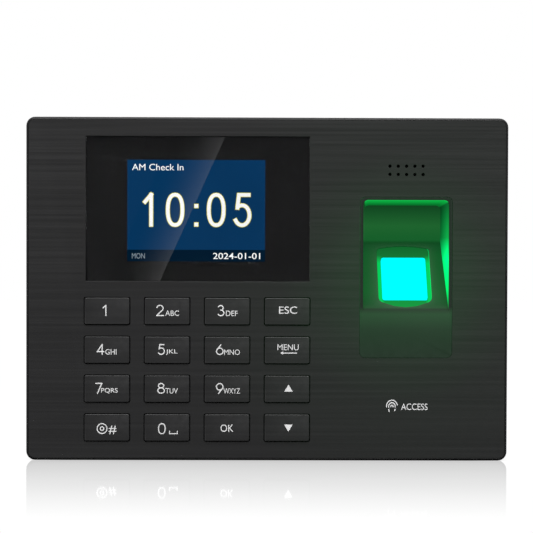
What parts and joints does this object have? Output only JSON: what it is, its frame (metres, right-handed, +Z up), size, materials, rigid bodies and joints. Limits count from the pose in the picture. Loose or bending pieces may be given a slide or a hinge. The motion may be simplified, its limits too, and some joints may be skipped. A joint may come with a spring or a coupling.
{
  "type": "fingerprint scanner terminal",
  "caption": "Wall-mounted access terminal with a colour display, a keypad, a scooped lit finger sensor and a hook-on wall plate.",
  "frame": {"origin": "centre of the bounding box's bottom face: the middle of the flat bottom that the terminal stands on", "axes": "+X to the right of the face, +Y from the face to the wall, +Z up"},
  "size_m": [0.2, 0.0344, 0.1425],
  "materials": {
    "shell_plastic": "fine spark texture, satin",
    "brushed_face": "black, brushed across, satin",
    "zinc_plate": "zinc-plated sheet, dull",
    "steel_screw": "plated, turned",
    "window_glass": "smoked acrylic, polished",
    "foam_black": "black foam or cloth",
    "lcd_glass": "polished",
    "tray_steel": "stamped sheet",
    "copper_flex": "amber flexible circuit",
    "brushed_key": "black, brushed across, satin",
    "silicone": "silicone rubber",
    "circuit_board": "solder mask",
    "scoop_plastic": "satin, lit green by the sensor",
    "guide_green": "lit light guide",
    "platen_glass": "lit optical glass",
    "grey_plastic": "moulded",
    "lens_glass": "coated lens",
    "black_plastic": "moulded",
    "white_nylon": "moulded nylon",
    "green_plastic": "moulded"
  },
  "bodies": {
    "terminal": {"front_shell": "shell_plastic", "rear_shell": "shell_plastic", "faceplate": "brushed_face", "case_screw_1": "steel_screw", "case_screw_2": "steel_screw", "case_screw_3": "steel_screw", "case_screw_4": "steel_screw", "board_screw_1": "steel_screw", "board_screw_2": "steel_screw", "board_screw_3": "steel_screw", "board_screw_4": "steel_screw", "display_window": "window_glass", "display_gasket": "foam_black", "speaker_cloth": "foam_black", "lcd_panel": "lcd_glass", "lcd_tray": "tray_steel", "usb_socket": "tray_steel", "clock_battery": "tray_steel", "lcd_cable": "copper_flex", "keypad_cable": "copper_flex", "sensor_cable": "copper_flex", "keypad_mat": "silicone", "keypad_board": "circuit_board", "main_board": "circuit_board", "sensor_board": "circuit_board", "sensor_insert": "scoop_plastic", "light_ring": "guide_green", "sensor_led_1": "guide_green", "sensor_led_2": "guide_green", "platen_prism": "platen_glass", "optics_housing": "grey_plastic", "sensor_lens": "lens_glass", "speaker": "black_plastic", "processor": "black_plastic", "power_jack": "black_plastic", "tamper_switch": "black_plastic", "battery_holder": "white_nylon", "network_jack": "white_nylon", "door_relay": "green_plastic", "terminal_block": "green_plastic"},
    "key_1_body": {"key_1": "brushed_key"},
    "key_2_body": {"key_2": "brushed_key"},
    "key_3_body": {"key_3": "brushed_key"},
    "key_esc_body": {"key_esc": "brushed_key"},
    "key_4_body": {"key_4": "brushed_key"},
    "key_5_body": {"key_5": "brushed_key"},
    "key_6_body": {"key_6": "brushed_key"},
    "key_menu_body": {"key_menu": "brushed_key"},
    "key_7_body": {"key_7": "brushed_key"},
    "key_8_body": {"key_8": "brushed_key"},
    "key_9_body": {"key_9": "brushed_key"},
    "key_up_body": {"key_up": "brushed_key"},
    "key_hash_body": {"key_hash": "brushed_key"},
    "key_0_body": {"key_0": "brushed_key"},
    "key_ok_body": {"key_ok": "brushed_key"},
    "key_down_body": {"key_down": "brushed_key"},
    "wall_plate_body": {"wall_plate": "zinc_plate", "lock_screw": "steel_screw"},
    "tamper_body": {"tamper_plunger": "white_nylon"}
  },
  "joints": [
    {"name": "press_1", "type": "slide", "parent": "terminal", "child": "key_1_body", "axis": [0, 1, 0], "range_m": [0, 0.0008], "stiffness_N_per_m": 900},
    {"name": "press_2", "type": "slide", "parent": "terminal", "child": "key_2_body", "axis": [0, 1, 0], "range_m": [0, 0.0008], "stiffness_N_per_m": 900},
    {"name": "press_3", "type": "slide", "parent": "terminal", "child": "key_3_body", "axis": [0, 1, 0], "range_m": [0, 0.0008], "stiffness_N_per_m": 900},
    {"name": "press_esc", "type": "slide", "parent": "terminal", "child": "key_esc_body", "axis": [0, 1, 0], "range_m": [0, 0.0008], "stiffness_N_per_m": 900},
    {"name": "press_4", "type": "slide", "parent": "terminal", "child": "key_4_body", "axis": [0, 1, 0], "range_m": [0, 0.0008], "stiffness_N_per_m": 900},
    {"name": "press_5", "type": "slide", "parent": "terminal", "child": "key_5_body", "axis": [0, 1, 0], "range_m": [0, 0.0008], "stiffness_N_per_m": 900},
    {"name": "press_6", "type": "slide", "parent": "terminal", "child": "key_6_body", "axis": [0, 1, 0], "range_m": [0, 0.0008], "stiffness_N_per_m": 900},
    {"name": "press_menu", "type": "slide", "parent": "terminal", "child": "key_menu_body", "axis": [0, 1, 0], "range_m": [0, 0.0008], "stiffness_N_per_m": 900},
    {"name": "press_7", "type": "slide", "parent": "terminal", "child": "key_7_body", "axis": [0, 1, 0], "range_m": [0, 0.0008], "stiffness_N_per_m": 900},
    {"name": "press_8", "type": "slide", "parent": "terminal", "child": "key_8_body", "axis": [0, 1, 0], "range_m": [0, 0.0008], "stiffness_N_per_m": 900},
    {"name": "press_9", "type": "slide", "parent": "terminal", "child": "key_9_body", "axis": [0, 1, 0], "range_m": [0, 0.0008], "stiffness_N_per_m": 900},
    {"name": "press_up", "type": "slide", "parent": "terminal", "child": "key_up_body", "axis": [0, 1, 0], "range_m": [0, 0.0008], "stiffness_N_per_m": 900},
    {"name": "press_hash", "type": "slide", "parent": "terminal", "child": "key_hash_body", "axis": [0, 1, 0], "range_m": [0, 0.0008], "stiffness_N_per_m": 900},
    {"name": "press_0", "type": "slide", "parent": "terminal", "child": "key_0_body", "axis": [0, 1, 0], "range_m": [0, 0.0008], "stiffness_N_per_m": 900},
    {"name": "press_ok", "type": "slide", "parent": "terminal", "child": "key_ok_body", "axis": [0, 1, 0], "range_m": [0, 0.0008], "stiffness_N_per_m": 900},
    {"name": "press_down", "type": "slide", "parent": "terminal", "child": "key_down_body", "axis": [0, 1, 0], "range_m": [0, 0.0008], "stiffness_N_per_m": 900},
    {"name": "unhook_plate", "type": "slide", "parent": "terminal", "child": "wall_plate_body", "axis": [0, 0, -1], "range_m": [0, 0.006]},
    {"name": "release_tamper", "type": "slide", "parent": "terminal", "child": "tamper_body", "axis": [0, 1, 0], "range_m": [0, 0.0015], "stiffness_N_per_m": 300}
  ]
}
